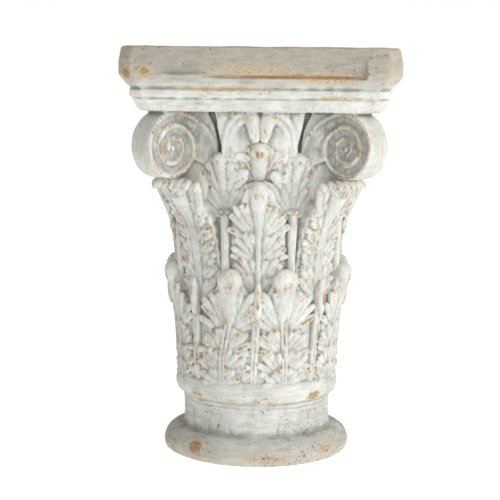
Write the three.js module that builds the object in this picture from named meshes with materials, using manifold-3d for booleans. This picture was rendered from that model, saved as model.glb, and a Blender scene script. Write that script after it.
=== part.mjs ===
// Capital plinth: a round foot and neck, a bell wrapped in two tiers of acanthus leaves,
// four corner volutes and a square abacus with clipped corners, cast as one piece.
// Millimetres, +Z up. The origin is the centre of the underside, and the front is -Y.
import * as THREE from 'three';
import { mergeVertices } from 'three/addons/utils/BufferGeometryUtils.js';
import Module from 'manifold-3d';

const wasm = await Module();
wasm.setup();

// Driving dimensions
const HEIGHT = 600;
const ABACUS_HALF_WIDTH = 194;
const ABACUS_BOTTOM = 511;
const FOOT_RADIUS = 139;
const FOOT_HEIGHT = 38;
const NECK_RADIUS = 109.5;
const ASTRAGAL_RADIUS = 122;
const ASTRAGAL_BOTTOM = 80;
const ASTRAGAL_TOP = 121;

// Bell: the core behind the leaves, which flares towards the abacus
const BELL_RADIUS = 108;
const BELL_FLARE_START = 300;
const BELL_FLARE = 24;
const BELL_TOP = ABACUS_BOTTOM + 4;

// Abacus: corner clips, and the fascia that leans back between the corner blocks
const CORNER_CLIP = 24;
const FASCIA_LEDGE = 562;
const FASCIA_SETBACK = 4.5;
const FASCIA_HALF_LENGTH = 151;

// Corner volutes: a spiral scroll on each diagonal, carved on both faces
const VOLUTE_REACH = 186;
const VOLUTE_EYE_HEIGHT = 460;
const VOLUTE_THICKNESS = 40;
const VOLUTE_RADIUS = 52;
const VOLUTE_PITCH = 18;
const VOLUTE_TURNS = 2.45;
const VOLUTE_RIM = 5;
const VOLUTE_CHANNEL_DEPTH = 7;
const OUTER_TURN_STEPS = 12;
const INNER_TURN_STEPS = 8;
const STEM_TURNS = 0.27;
const STEM_GROWTH = 215;
const STEM_WIDTH = 19;
const STEM_THICKNESS = 17;
const STEM_BEND_START = 20;
const STEM_BEND_RADIUS = 30;

const FACES = 4;
const QUARTER = Math.PI / 2;
const EIGHTH = Math.PI / 4;

// Columns of the body: five stations from a leaf's midrib to the stalk beside it, mirrored all round
const STATIONS = 4;
const COLUMNS_PER_PITCH = 2 * STATIONS;
const PITCHES = 2 * FACES;
const COLUMNS = COLUMNS_PER_PITCH * PITCHES;

// Side view of a leaf's curled tip: reach from the body, then height, both as shares
const HOOD = new THREE.SplineCurve([
  new THREE.Vector2(0.3, 0),
  new THREE.Vector2(0.65, 0.05),
  new THREE.Vector2(0.93, 0.2),
  new THREE.Vector2(1, 0.4),
  new THREE.Vector2(0.84, 0.62),
  new THREE.Vector2(0.45, 0.84),
  new THREE.Vector2(-0.1, 1),
]);
const HOOD_ROWS = 5;

// Lower tier: two leaves on each face, whose tips lean towards the face's centre
const LOWER_TIER = {
  lean: 14,
  foot: 120,
  radius: 117,
  flare: 4,
  cornerFlare: 4,
  flarePower: 1,
  hoodLow: 247,
  hoodHeight: 42,
  hoodReach: 21,
  cornerReach: 21,
  hoodHalfWidth: 21,
  halfWidth: 36,
  lobes: 4,
  lobeRise: 15,
  stalkRadius: 118.5,
  stalkHalfWidth: 7,
  besideRadius: 121.5,
  crownRadius: 124,
};

// Upper tier: a leaf at each face's centre, and one at each corner that reaches out under the volute
const UPPER_TIER = {
  lean: 0,
  foot: 292,
  radius: 121,
  flare: 13,
  cornerFlare: 35,
  flarePower: 2,
  hoodLow: 386,
  hoodHeight: 33,
  hoodReach: 25,
  cornerReach: 32,
  hoodHalfWidth: 19,
  halfWidth: 33,
  lobes: 3,
  lobeRise: 14,
  stalkRadius: 126,
  stalkHalfWidth: 7.5,
  besideRadius: 125,
  crownRadius: 131,
};

// Crown: a small leaf between the inner scrolls of a face, and a leaf that sheathes each scroll's stem
const CENTRE_LEAF = { radius: 136, reach: 29, low: 446, height: 32, halfWidth: 19 };
const SHEATH_LEAF = { radius: 133, reach: 17, low: 424, height: 31, halfWidth: 17 };
const COLLAR_SHARE = 0.8;
const COLLAR_BULGE = 6;

// Leaf relief
const MIDRIB_HEIGHT = 3.5;
const LOBE_CROWN = 2.5;
const LOBE_GROOVE = 6;
const LOBE_EDGE = -1.5;
const LOBE_NOTCH = 0.34;
const LOBE_PHASES = [0, 0.45];
const LOBE_MIDDLE = 0.55;
const HOOD_DROOP = 5;
const GROOVE_CLEARANCE = 2;
const FOOT_RELIEF = 0.3;

// Inner scrolls: two bands on each face that arch towards each other under the abacus
const ARCH_PATH = new THREE.CatmullRomCurve3([
  new THREE.Vector3(44, -130, 438),
  new THREE.Vector3(41, -138, 464),
  new THREE.Vector3(34, -147, 487),
  new THREE.Vector3(21, -153, 498),
  new THREE.Vector3(9, -157, 497),
  new THREE.Vector3(-1, -157, 490),
]);
const ARCH_STEPS = 7;
const ARCH_HALF_WIDTH = 6;
const ARCH_GROWTH = 6;
const ARCH_DEPTH = 11;
const ARCH_ROOT = 26;

const STONE = new THREE.MeshStandardMaterial({ color: 0xd8d6cd, roughness: 0.85, metalness: 0 });

// A solid from a closed geometry, with its shared vertices merged
function toSolid(geometry) {
  const bare = geometry.clone();
  bare.deleteAttribute('normal');
  bare.deleteAttribute('uv');
  const merged = mergeVertices(bare, 1e-3);
  const corners = merged.index.array;
  const kept = [];
  for (let i = 0; i < corners.length; i += 3) {
    const [a, b, c] = corners.slice(i, i + 3);
    if (a !== b && b !== c && c !== a) kept.push(a, b, c);
  }
  return new wasm.Manifold(
    new wasm.Mesh({
      numProp: 3,
      vertProperties: merged.attributes.position.array,
      triVerts: new Uint32Array(kept),
    }),
  );
}

// A solid back as a three.js geometry
function toGeometry(solid) {
  const mesh = solid.getMesh();
  const geometry = new THREE.BufferGeometry();
  geometry.setAttribute('position', new THREE.BufferAttribute(mesh.vertProperties, 3));
  geometry.setIndex(new THREE.BufferAttribute(mesh.triVerts, 1));
  geometry.computeVertexNormals();
  return geometry;
}

// Joins solids in pairs, so that small ones meet first
function joinAll(solids) {
  let left = solids;
  while (left.length > 1) {
    const pairs = [];
    for (let i = 0; i < left.length; i += 2) {
      pairs.push(i + 1 < left.length ? left[i].add(left[i + 1]) : left[i]);
    }
    left = pairs;
  }
  return left[0];
}

// A closed skin over rings of points, with a fan at each end
function loft(rings) {
  const count = rings[0].length;
  const points = rings.flat();
  const triangles = [];
  for (let i = 0; i + 1 < rings.length; i += 1) {
    for (let j = 0; j < count; j += 1) {
      const next = (j + 1) % count;
      const [a, b] = [i * count + j, i * count + next];
      const [c, d] = [a + count, b + count];
      triangles.push([a, b, d], [a, d, c]);
    }
  }
  [0, rings.length - 1].forEach((end) => {
    const hub = points.length;
    points.push(rings[end].reduce((sum, p) => sum.add(p), new THREE.Vector3()).divideScalar(count));
    for (let j = 0; j < count; j += 1) {
      const [a, b] = [end * count + j, end * count + ((j + 1) % count)];
      triangles.push(end === 0 ? [hub, b, a] : [hub, a, b]);
    }
  });
  const volume = triangles.reduce((sum, [a, b, c]) => {
    return sum + points[a].dot(new THREE.Vector3().crossVectors(points[b], points[c]));
  }, 0);
  if (volume < 0) triangles.forEach((t) => t.reverse());
  const geometry = new THREE.BufferGeometry().setFromPoints(points);
  geometry.setIndex(triangles.flat());
  return toSolid(geometry);
}

// A point from its radius, its angle from the front towards +X, and its height
function polar(radius, angle, height) {
  return new THREE.Vector3(radius * Math.sin(angle), -radius * Math.cos(angle), height);
}

function bellRadius(height) {
  const rise = Math.max(0, height - BELL_FLARE_START) / (BELL_TOP - BELL_FLARE_START);
  return BELL_RADIUS + BELL_FLARE * rise * rise;
}

// Points of an elliptical arc, from one angle to another
function arc(centreX, centreY, radiusX, radiusY, from, to, steps) {
  return Array.from({ length: steps + 1 }, (_, i) => {
    const angle = THREE.MathUtils.lerp(from, to, i / steps);
    return new THREE.Vector2(centreX + radiusX * Math.cos(angle), centreY + radiusY * Math.sin(angle));
  });
}

// A ring of the body that is a plain circle
function circleRing(radius, height) {
  return Array.from({ length: COLUMNS }, (_, i) => polar(radius, (i / COLUMNS) * 2 * Math.PI, height));
}

// Foot, neck and astragal
function footRings() {
  const astragalMiddle = (ASTRAGAL_BOTTOM + ASTRAGAL_TOP) / 2;
  const astragalHalf = (ASTRAGAL_TOP - ASTRAGAL_BOTTOM) / 2;
  const profile = [
    new THREE.Vector2(FOOT_RADIUS - 6, 0),
    ...arc(NECK_RADIUS + 4, 12, FOOT_RADIUS - NECK_RADIUS - 4, FOOT_HEIGHT - 14, -0.35, 1.25, 4),
    new THREE.Vector2(NECK_RADIUS + 1, FOOT_HEIGHT),
    new THREE.Vector2(NECK_RADIUS, ASTRAGAL_BOTTOM - 6),
    ...arc(NECK_RADIUS, astragalMiddle, ASTRAGAL_RADIUS - NECK_RADIUS, astragalHalf, -1.3, 1.15, 3),
  ];
  return profile.map((p) => circleRing(p.x, p.y));
}

// One level of the abacus: a square with clipped corners
function abacusRing(halfWidth, height) {
  const inner = halfWidth - CORNER_CLIP;
  return Array.from({ length: FACES }, (_, face) => {
    const turn = new THREE.Matrix4().makeRotationZ(face * QUARTER);
    return [
      new THREE.Vector3(-inner, -halfWidth, height).applyMatrix4(turn),
      new THREE.Vector3(inner, -halfWidth, height).applyMatrix4(turn),
    ];
  }).flat();
}

// The wedge that is cut away over a fascia's ledge, between the corner blocks
function fasciaCut() {
  const section = new THREE.Shape();
  section.moveTo(ABACUS_HALF_WIDTH - FASCIA_SETBACK, FASCIA_LEDGE);
  section.lineTo(ABACUS_HALF_WIDTH + 1, FASCIA_LEDGE);
  section.lineTo(ABACUS_HALF_WIDTH + 1, HEIGHT - 6);
  section.lineTo(ABACUS_HALF_WIDTH - 0.5, HEIGHT - 6);
  const geometry = new THREE.ExtrudeGeometry(section, {
    depth: 2 * FASCIA_HALF_LENGTH,
    bevelEnabled: false,
  });
  geometry.translate(0, 0, -FASCIA_HALF_LENGTH);
  return geometry.rotateX(QUARTER);
}

// Abacus: fascia, sloping ovolo, fillet and lower slope
function makeAbacus() {
  const half = ABACUS_HALF_WIDTH;
  const levels = [
    [half - 29, ABACUS_BOTTOM],
    [half - 24, ABACUS_BOTTOM + 4],
    [half - 16, ABACUS_BOTTOM + 18],
    [half - 14.5, ABACUS_BOTTOM + 21],
    [half - 13, ABACUS_BOTTOM + 31],
    [half - 10, ABACUS_BOTTOM + 36],
    [half, FASCIA_LEDGE],
    [half, HEIGHT - 20],
    [half - 3, HEIGHT - 3],
    [half - 5, HEIGHT],
  ];
  let abacus = loft(levels.map(([width, height]) => abacusRing(width, height)));
  for (let face = 0; face < FACES; face += 1) {
    abacus = abacus.subtract(toSolid(fasciaCut().rotateZ(face * QUARTER)));
  }
  return abacus;
}

// A ring of the body with a leaf in each pitch. The shape gives radius, sideways distance from the midrib
// and height at each station, from the midrib (0) to the stalk's crown (4).
function leafRing(tier, startsOnLeaf, shape) {
  const points = [];
  for (let column = 0; column < COLUMNS; column += 1) {
    const pitch = Math.floor(column / COLUMNS_PER_PITCH);
    const step = column % COLUMNS_PER_PITCH;
    const fromStart = Math.min(step, COLUMNS_PER_PITCH - step);
    const afterMiddle = step > STATIONS;
    const leaf = startsOnLeaf ? pitch + (afterMiddle ? 1 : 0) : pitch + 0.5;
    const station = startsOnLeaf ? fromStart : STATIONS - fromStart;
    const side = startsOnLeaf === afterMiddle ? -1 : 1;
    const corner = startsOnLeaf && leaf % 2 === 1;
    const towardsFace = pitch % 2 === 0 ? -1 : 1;
    const { radius, across, height, lean = 0 } = shape(station, corner);
    const shift = (towardsFace * lean) / tier.radius;
    const angle = station === STATIONS ? (side * EIGHTH) / 2 : (side * across) / tier.radius + shift;
    points.push(polar(radius, leaf * EIGHTH + angle, height));
  }
  return points;
}

// How near a share of the leaf's length is to the notch between two lobes: 1 in it, 0 on the lobe
function notchAt(share, lobes) {
  const phase = (share * lobes) % 1;
  return Math.abs(2 * phase - 1) ** 4;
}

// Rows of a tier's leaf bodies: lobes that rise from the midrib to their tips, with notches between
function bodyRings(tier, startsOnLeaf) {
  const rings = [];
  const gap = (Math.PI / 8) * tier.radius - tier.stalkHalfWidth;
  for (let row = 0; row < tier.lobes * LOBE_PHASES.length; row += 1) {
    const lobe = Math.floor(row / LOBE_PHASES.length);
    const share = (lobe + LOBE_PHASES[row % LOBE_PHASES.length]) / tier.lobes;
    const notch = row === 0 ? 0 : notchAt(share, tier.lobes);
    const height = THREE.MathUtils.lerp(tier.foot, tier.hoodLow, share);
    const rise = tier.lobeRise * THREE.MathUtils.smoothstep(share, 0, 0.1) * (1 - share ** 3);
    const halfWidth = tier.halfWidth * (1 - LOBE_NOTCH * notch);
    const depth = row === 0 ? FOOT_RELIEF : 1;
    const collar = startsOnLeaf && share > COLLAR_SHARE ? COLLAR_BULGE : 0;
    rings.push(
      leafRing(tier, startsOnLeaf, (station, corner) => {
        const flare = corner ? tier.cornerFlare : tier.flare;
        const surface = tier.radius + flare * share ** tier.flarePower;
        const lean = station < 3 ? tier.lean * share * share : 0;
        const groove = bellRadius(height) + GROOVE_CLEARANCE + flare * share ** 3 * 0.5;
        return [
          { radius: surface + depth * MIDRIB_HEIGHT, across: 0, height, lean },
          {
            radius: surface + depth * LOBE_CROWN - LOBE_GROOVE * notch,
            across: LOBE_MIDDLE * halfWidth,
            height: height + rise / 2,
            lean,
          },
          { radius: surface + LOBE_EDGE, across: halfWidth, height: height + rise, lean },
          { radius: THREE.MathUtils.lerp(surface, groove, depth), across: gap, height: height + rise },
          { radius: tier.stalkRadius + 2 * share + collar, across: 0, height: height + rise },
        ][station];
      }),
    );
  }
  return rings;
}

// Rows over a tier's curled tips
function hoodRings(tier, startsOnLeaf) {
  return HOOD.getPoints(HOOD_ROWS).map((p, row) => {
    const share = row / HOOD_ROWS;
    const halfWidth = tier.hoodHalfWidth * (0.72 + 0.28 * Math.sin(Math.PI * Math.min(1, p.y + 0.1)));
    const height = tier.hoodLow + tier.hoodHeight * p.y;
    const beside = THREE.MathUtils.lerp(tier.hoodLow, tier.hoodLow + tier.hoodHeight, share);
    return leafRing(tier, startsOnLeaf, (station, corner) => {
      const flare = corner ? tier.cornerFlare : tier.flare;
      const reach = corner ? tier.cornerReach : tier.hoodReach;
      const surface = tier.radius + flare + reach * p.x;
      return [
        { radius: surface + 1.5, across: 0, height, lean: tier.lean },
        { radius: surface, across: LOBE_MIDDLE * halfWidth, height, lean: tier.lean },
        { radius: surface - HOOD_DROOP, across: halfWidth, height, lean: tier.lean },
        { radius: tier.besideRadius, across: halfWidth + 4, height: beside, lean: tier.lean },
        { radius: tier.crownRadius, across: 0, height: beside },
      ][station];
    });
  });
}

// Rows of the crown: the centre leaf of each face, and the sheath leaves over the upper tier's stalks
function crownRings() {
  return HOOD.getPoints(HOOD_ROWS).map((p, row) => {
    const share = row / HOOD_ROWS;
    const behind = THREE.MathUtils.lerp(CENTRE_LEAF.low - 16, CENTRE_LEAF.low + CENTRE_LEAF.height, share);
    const bell = bellRadius(behind) + GROOVE_CLEARANCE;
    const centreHeight = CENTRE_LEAF.low + CENTRE_LEAF.height * p.y;
    const sheathHeight = SHEATH_LEAF.low + SHEATH_LEAF.height * p.y;
    const sheathRadius = SHEATH_LEAF.radius + SHEATH_LEAF.reach * p.x;
    return leafRing(UPPER_TIER, true, (station, corner) => {
      const centreRadius = corner ? bell : CENTRE_LEAF.radius + CENTRE_LEAF.reach * p.x;
      const leafHeight = corner ? behind : centreHeight;
      const sheath = (Math.PI / 8) * UPPER_TIER.radius;
      return [
        { radius: centreRadius, across: 0, height: leafHeight },
        { radius: centreRadius - HOOD_DROOP / 2, across: CENTRE_LEAF.halfWidth, height: leafHeight },
        { radius: bell, across: sheath - SHEATH_LEAF.halfWidth - 6, height: behind },
        { radius: sheathRadius - HOOD_DROOP, across: sheath - SHEATH_LEAF.halfWidth, height: sheathHeight },
        { radius: sheathRadius, across: 0, height: sheathHeight },
      ][station];
    });
  });
}

// Foot, neck, astragal, the two tiers of leaves and the bell, in one skin
function makeBody() {
  return loft([
    ...footRings(),
    ...bodyRings(LOWER_TIER, false),
    ...hoodRings(LOWER_TIER, false),
    ...bodyRings(UPPER_TIER, true),
    ...hoodRings(UPPER_TIER, true),
    ...crownRings(),
    circleRing(bellRadius(BELL_TOP), BELL_TOP),
  ]);
}

// Radius of the volute's spiral at a number of turns past its top: the stem comes before it
function spiralRadius(turns) {
  return turns < 0
    ? VOLUTE_RADIUS + STEM_GROWTH * turns * turns
    : VOLUTE_RADIUS - VOLUTE_PITCH * turns;
}

// A point of a volute, from its distance along the diagonal, its height over the eye and its distance
// from the diagonal plane. Towards the bell the scroll bends away from the diagonal, along its own face.
function volutePoint(along, up, aside) {
  const facing = Math.sign(aside);
  const excess = Math.max(0, -along - STEM_BEND_START);
  const bend = Math.min(excess / STEM_BEND_RADIUS, Math.PI / 4);
  const straight = excess - bend * STEM_BEND_RADIUS;
  const inward = STEM_BEND_RADIUS * Math.sin(bend) + straight * Math.cos(bend);
  const outward = STEM_BEND_RADIUS * (1 - Math.cos(bend)) + straight * Math.sin(bend);
  const diagonal = VOLUTE_REACH + Math.max(along, -STEM_BEND_START) - inward;
  const offset = aside + facing * outward;
  return new THREE.Vector3(
    (diagonal - offset) * Math.SQRT1_2,
    (-diagonal - offset) * Math.SQRT1_2,
    VOLUTE_EYE_HEIGHT + up,
  );
}

// One cross-section of the scroll: the rim stands proud and the channel falls towards the next turn
function scrollRing(turns) {
  const angle = turns * 2 * Math.PI;
  const half = VOLUTE_THICKNESS / 2;
  const outer = spiralRadius(turns);
  const inner = Math.max(0, spiralRadius(turns + 1) - 3);
  const at = (radius, aside) => volutePoint(radius * Math.sin(angle), radius * Math.cos(angle), aside);
  const rim = Math.max(inner, outer - VOLUTE_RIM);
  return [
    at(outer, half),
    at(rim, half),
    at(inner, half - VOLUTE_CHANNEL_DEPTH),
    at(inner, VOLUTE_CHANNEL_DEPTH - half),
    at(rim, -half),
    at(outer, -half),
  ];
}

// One cross-section of the band that carries the scroll from the sheath leaf to the volute
function stemRing(turns, facing) {
  const angle = turns * 2 * Math.PI;
  const half = VOLUTE_THICKNESS / 2;
  const outer = spiralRadius(turns);
  const at = (radius, aside) =>
    volutePoint(radius * Math.sin(angle), radius * Math.cos(angle), facing * aside);
  return [
    at(outer, half),
    at(outer - VOLUTE_RIM, half),
    at(outer - STEM_WIDTH, half - VOLUTE_CHANNEL_DEPTH / 2),
    at(outer - STEM_WIDTH, half - STEM_THICKNESS),
    at(outer, half - STEM_THICKNESS),
  ];
}

// Even steps of turns from one to another, finer on the outer turn, whose edge is the volute's outline
function turnSteps(from, to) {
  const perTurn = to > 1 ? INNER_TURN_STEPS : OUTER_TURN_STEPS;
  const count = Math.round((to - from) * perTurn);
  return Array.from({ length: count + 1 }, (_, i) => THREE.MathUtils.lerp(from, to, i / count));
}

// A corner volute with its two stems. Half turns stay separate until they are joined.
function makeVolute() {
  const pieces = [];
  for (let start = 0; start < VOLUTE_TURNS; start += 0.5) {
    const end = Math.min(start + 0.5, VOLUTE_TURNS);
    pieces.push(loft(turnSteps(start, end).map(scrollRing)));
  }
  [-1, 1].forEach((facing) => {
    pieces.push(loft(turnSteps(-STEM_TURNS, 0.04).map((turns) => stemRing(turns, facing))));
  });
  return joinAll(pieces);
}

// Half of a face's inner scrolls: a rounded band along the arch
function makeArch(side) {
  const rings = [];
  for (let i = 0; i <= ARCH_STEPS; i += 1) {
    const share = i / ARCH_STEPS;
    const centre = ARCH_PATH.getPoint(share);
    const along = ARCH_PATH.getTangent(share);
    const across = new THREE.Vector3(along.z, 0, -along.x).normalize();
    const halfWidth = ARCH_HALF_WIDTH + ARCH_GROWTH * share;
    const root = THREE.MathUtils.lerp(ARCH_ROOT, ARCH_DEPTH, share);
    const ring = [
      [-1, root],
      [-1, 2],
      [0, -3],
      [1, 2],
      [1, root],
    ].map(([sideways, back]) => {
      const point = centre.clone().addScaledVector(across, sideways * halfWidth);
      point.y += back;
      point.x *= side;
      return point;
    });
    rings.push(ring);
  }
  return loft(rings);
}

// The scrolls that repeat on each of the four faces
function makeFace() {
  return joinAll([makeVolute(), makeArch(-1), makeArch(1)]);
}

// The whole casting
function makePlinth() {
  const face = toGeometry(makeFace());
  const faces = Array.from({ length: FACES }, (_, i) => toSolid(face.clone().rotateZ(i * QUARTER)));
  return joinAll([makeBody(), makeAbacus(), ...faces]);
}

const plinth = new THREE.Mesh(toGeometry(makePlinth()), STONE);
plinth.name = 'plinth';

const model = new THREE.Group();
model.add(plinth);

export default model;
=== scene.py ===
"""Capital plinth, cast in one piece and whitewashed: two tiers of acanthus, volutes and an abacus."""

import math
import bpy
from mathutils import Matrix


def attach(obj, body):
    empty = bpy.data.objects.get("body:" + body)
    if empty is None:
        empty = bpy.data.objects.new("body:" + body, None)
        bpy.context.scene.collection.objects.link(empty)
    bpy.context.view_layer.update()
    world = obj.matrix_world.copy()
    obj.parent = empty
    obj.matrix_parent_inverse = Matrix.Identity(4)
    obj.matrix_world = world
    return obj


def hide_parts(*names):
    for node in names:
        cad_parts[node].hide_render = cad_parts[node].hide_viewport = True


bl_info = {
    "name": "Capital plinth",
    "version": (1, 0, 0),
    "blender": (4, 5, 0),
    "location": "View3D > Sidebar > Plinth",
    "description": "Builds a whitewashed capital plinth over its packed frame, and a plain stage for it",
    "category": "Add Mesh",
}

from functools import partial

import bpy
import numpy as np
from mathutils import Matrix, Vector

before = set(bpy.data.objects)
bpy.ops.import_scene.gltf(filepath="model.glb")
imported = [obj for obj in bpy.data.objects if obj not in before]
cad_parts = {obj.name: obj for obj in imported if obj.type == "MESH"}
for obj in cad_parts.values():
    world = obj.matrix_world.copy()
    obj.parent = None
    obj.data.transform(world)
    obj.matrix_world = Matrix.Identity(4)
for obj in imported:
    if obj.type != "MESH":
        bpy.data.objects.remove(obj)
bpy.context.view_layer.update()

SEED = 1847
METRES_PER_MM = 0.001
MM_PER_METRE = 1000.0
UP = (0.0, 0.0, 1.0)

# Turned sizes in millimetres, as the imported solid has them
FOOT_RADIUS = 139.0
FOOT_HEIGHT = 38.0
NECK_RADIUS = 109.5
ASTRAGAL_RADIUS = 122.0
ASTRAGAL_BOTTOM = 80.0
ASTRAGAL_TOP = 121.0
BELL_RADIUS = 108.0
BELL_FLARE = 24.0
BELL_FLARE_START = 300.0
BELL_TOP = 515.0

# Neck and the fine steps under the astragal: how far they stand out from the neck, then height
NECK_STEPS = (
    (2.2, FOOT_HEIGHT - 1.0),
    (0.4, FOOT_HEIGHT + 1.5),
    (-0.3, 56.0),
    (0.0, 73.0),
    (0.6, 77.5),
    (-1.0, 79.3),
    (0.9, 81.0),
    (2.2, 84.8),
    (0.8, 86.6),
)

# How much fuller the bell's core is behind the leaves, where that ends and over what height it fades
CORE_FULLNESS = 8.0
CORE_FULL_TOP = 480.0
CORE_FULL_FADE = 60.0

# Abacus: half width at each height, from its underside to its top
ABACUS_HALF_WIDTH = 194.0
ABACUS_LEVELS = (
    (165.0, 511.0),
    (170.0, 515.0),
    (176.5, 527.5),
    (176.6, 530.0),
    (180.2, 531.5),
    (181.2, 540.0),
    (179.0, 541.5),
    (179.6, 544.0),
    (184.0, 547.5),
    (191.2, 557.0),
    (191.4, 557.4),
    (193.8, 561.6),
    (194.0, 562.2),
    (194.0, 570.0),
    (194.0, 580.0),
    (192.4, 589.0),
    (191.0, 597.0),
    (189.0, 600.0),
)
CORNER_CLIP = 17.0
FASCIA_LEDGE = 562.0
FASCIA_SETBACK = 4.5
FASCIA_LEAN = 0.125
FASCIA_HALF_LENGTH = 151.0
FASCIA_GROOVE = 6.5
GROOVE_BOTTOM = 557.2
GROOVE_START = 90.0
RECESS_RUN_IN = 34.0

# Volutes: a spiral scroll on each diagonal, and the stem that feeds it on each face
VOLUTE_REACH = 186.0
VOLUTE_EYE_HEIGHT = 460.0
VOLUTE_HALF_THICKNESS = 20.0
VOLUTE_RADIUS = 52.0
VOLUTE_PITCH = 18.0
VOLUTE_TURNS = 2.45
STEM_TURNS = 0.32
STEM_GROWTH = 215.0
STEM_WIDTH = 19.0
STEM_THICKNESS = 17.0
STEM_WEB = 27.0
STEM_WEB_DEPTH = 3.0
STEM_BEND_START = 20.0
STEM_BEND_RADIUS = 30.0

# Rounded masses: half width, half depth and half length
VOLUTE_BACKING = (32.0, 22.0, 46.0)
VOLUTE_EYE = (6.5, 6.5, VOLUTE_HALF_THICKNESS - 0.5)
STALK_BUD = (6.5, 6.5, 27.0)
STALK_COLLAR = (5.5, 3.6, 10.5)

# Where those masses lie: distance from the casting's axis, then height
BACKING_PLACE = (128.0, 418.0)
BUD_PLACE = (129.5, 243.0)
COLLAR_PLACE = (125.5, 368.0)

# Overlap of a scroll's turns, and the width from which its band is carved to full depth
SCROLL_OVERLAP = 4.0
FULL_BAND = 14.0

# Section of a scroll's face, from its outer edge: share of the band's width, then depth below the rim
SCROLL_SECTION = (
    (0.00, 3.2),
    (0.03, 1.2),
    (0.09, 0.2),
    (0.14, 0.0),
    (0.20, 0.4),
    (0.26, 1.8),
    (0.36, 3.0),
    (0.60, 3.8),
    (0.82, 4.6),
    (1.00, 5.4),
)

# Inner scrolls of a face: the middle of the band that arches from a sheath leaf to the face's centre
ARCH_PATH = (
    (47.0, -133.0, 438.0),
    (46.0, -142.0, 464.0),
    (40.0, -148.0, 487.0),
    (28.0, -152.0, 501.0),
    (16.0, -155.0, 504.0),
    (9.5, -157.0, 496.0),
    (7.5, -158.0, 483.0),
    (6.0, -156.0, 468.0),
)

# Half width of that band at shares along it
ARCH_HALF_WIDTHS = ((0.0, 5.0), (0.25, 8.5), (0.55, 11.0), (0.75, 11.0), (0.92, 8.0), (1.0, 4.0))

# Ground behind the inner scrolls: height, half width and place of its front
SPANDREL_LEVELS = (
    (432.0, 44.0, -134.0),
    (462.0, 53.0, -143.0),
    (490.0, 59.0, -149.5),
    (514.0, 63.0, -152.5),
)
SPANDREL_BACK = -100.0

# How far the ground within the inner scrolls lies in front of the ground beside them, and where that ends
SCROLL_GROUND = 3.2
SCROLL_GROUND_EDGE = 43.0

# Stalks: heights of foot and top, distances from the axis there, half width and half depth
LOWER_STALK = (116.0, 262.0, (114.5, 126.0), 3.3, 4.8)
UPPER_STALK = (262.0, 372.0, (121.0, 126.0), 6.2, 6.5)

# Angle of a lower stalk's cord from the middle of its pair
CORD_ANGLE = 0.022

# Fans of leaf fingers: angle from upright in degrees, length and half width
FOOT_FAN = ((14.0, 20.0, 4.6), (34.0, 25.0, 5.0), (56.0, 28.0, 5.0), (80.0, 28.0, 4.8))
FAN = ((8.0, 36.0, 4.6), (21.0, 41.0, 5.0), (35.0, 43.0, 5.2), (50.0, 42.0, 5.0), (67.0, 37.0, 4.8))
LONG_FAN = ((7.0, 58.0, 5.2), (16.0, 64.0, 5.6), (27.0, 65.0, 5.8), (39.0, 60.0, 5.6), (54.0, 51.0, 5.2))
CROWN_FAN = ((7.0, 46.0, 5.2), (16.0, 52.0, 5.6), (27.0, 53.0, 5.8), (39.0, 49.0, 5.6), (53.0, 43.0, 5.2))
CORNER_FAN = ((24.0, 30.0, 5.2), (42.0, 34.0, 5.6), (62.0, 32.0, 5.2))
SHEATH_FAN = ((16.0, 30.0, 5.2), (32.0, 35.0, 5.6), (50.0, 36.0, 5.8), (70.0, 33.0, 5.4))
SHEATH_TOP_FAN = ((24.0, 23.0, 6.2), (60.0, 27.0, 6.6))

# Roots of a leaf's fingers: how far aside of its middle, how far each lies below the last, and their lift
FINGER_ASIDE = 2.0
FINGER_SPACING = 1.5
FINGER_ROOT_LIFT = 2.2

# How far fingers stray by chance: degrees, share of their length and share of their width
FINGER_STRAY = (4.0, 0.07, 0.08)

# Midribs of leaves: half depth of a smooth one, half width and half depth of a cord
TRUNK_HALF_DEPTH = 4.0
CORD_HALF_WIDTH = 2.1
CORD_HALF_DEPTH = 3.6

# How far a leaf's body stands over its ground, is rooted below it, and falls away at its edges
PLATE_LIFT = 4.4
PLATE_ROOT = 26.0
PLATE_EDGE_DROP = 2.5

# Length of the waves along a leaf's edge
EDGE_WAVE = 17.0

# Neck of a nodding leaf tip: its lift over the ground, and its half depth where it starts
TIP_NECK_LIFT = 2.5
TIP_NECK_HALF_DEPTH = 2.8

# Grooves at the end of a nodding leaf tip, as shares of its dome: how far apart, how wide and how deep
TIP_GROOVES = (0.12, 0.055, 0.12)
RIBBED_TIP_GROOVES = (0.17, 0.075, 0.16)

# Side view of a finger that curls over a leaf's tip: reach from its ground, then height, both as shares
CURLED_FINGER = ((-0.2, -0.3), (0.15, 0.25), (0.45, 0.62), (0.72, 0.74), (0.89, 0.64), (0.96, 0.45))

# How likely a finger's tip is rubbed to the ochre, how likely it is rolled, and how likely a rib is rubbed
TIP_RUBBED = 0.68
TIP_ROLLED = 0.65
RIB_RUBBED = 0.92

# Lower tier: how far its feet stand askew, how far its tips lean to their face's centre, and at what radius
LOWER_TWIST = math.radians(-3.0)
LOWER_TIP_LEAN = math.radians(5.3)
LOWER_TIP_RADIUS = 118.0

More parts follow.
